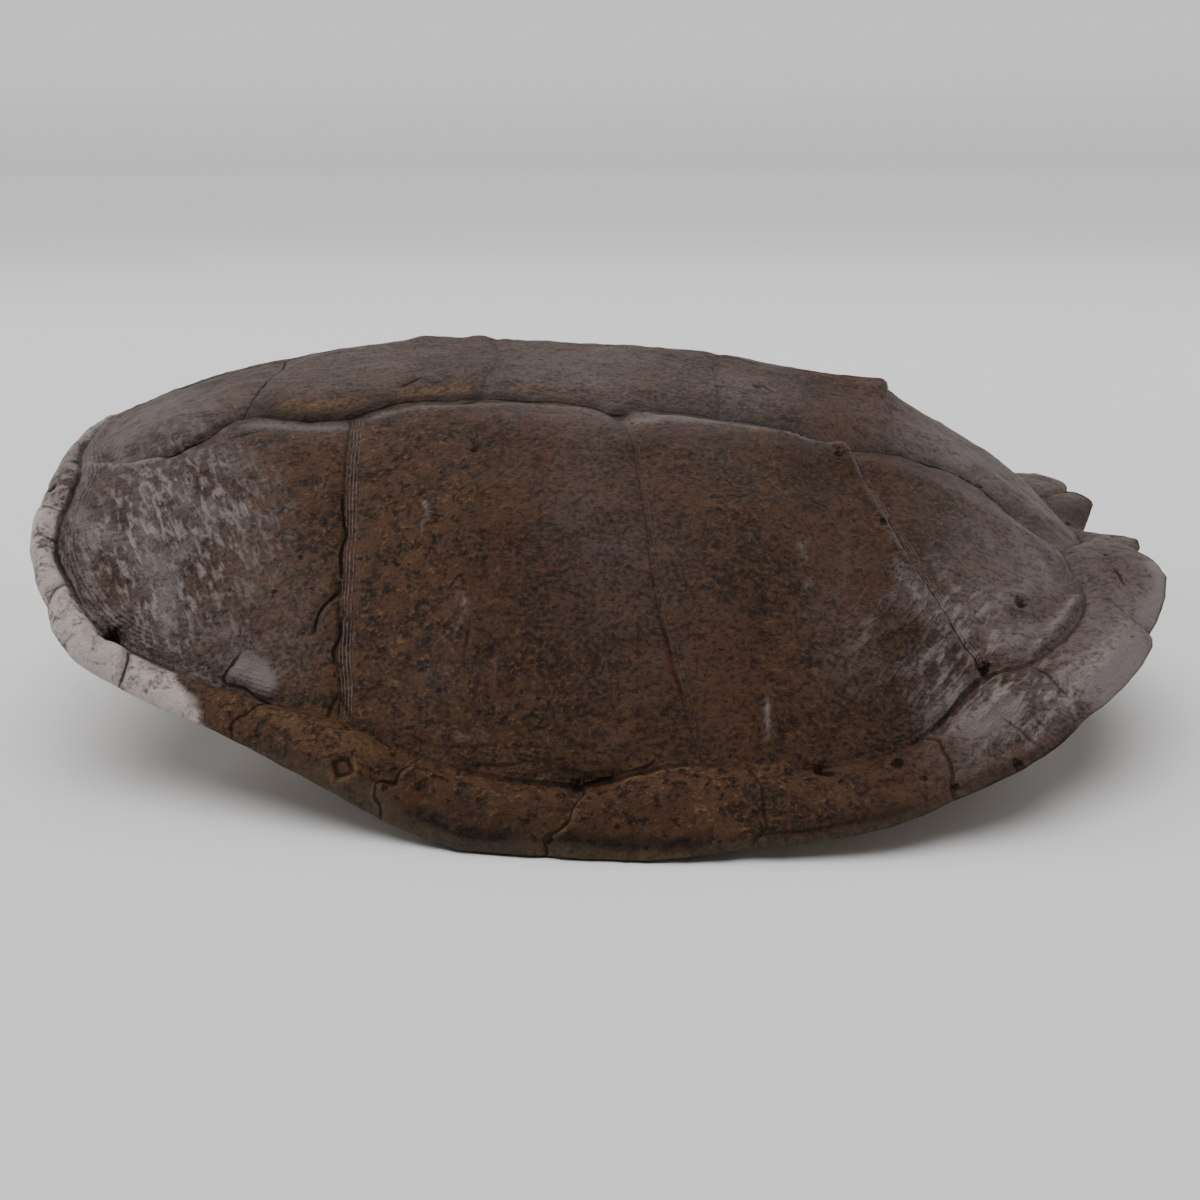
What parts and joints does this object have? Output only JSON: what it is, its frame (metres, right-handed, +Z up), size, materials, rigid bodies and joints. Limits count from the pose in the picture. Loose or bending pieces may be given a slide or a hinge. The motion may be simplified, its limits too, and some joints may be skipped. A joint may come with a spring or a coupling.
{
  "type": "turtle shell",
  "caption": "Domed turtle carapace with low knobbed keels, scute seams, a rolled margin and a toothed rear edge, hollow underneath.",
  "frame": {"origin": "middle of the shell's box at the height of the rim stretches that it rests on", "axes": "+X from the head end to the tail end, -Y to the animal's left side, +Z up"},
  "size_m": [0.3268, 0.3068, 0.1048],
  "materials": {
    "scute_horn": "dark brown horn over bone, softly shining, paler grey on the front and top"
  },
  "bodies": {
    "root": {"carapace": "scute_horn"}
  },
  "joints": []
}
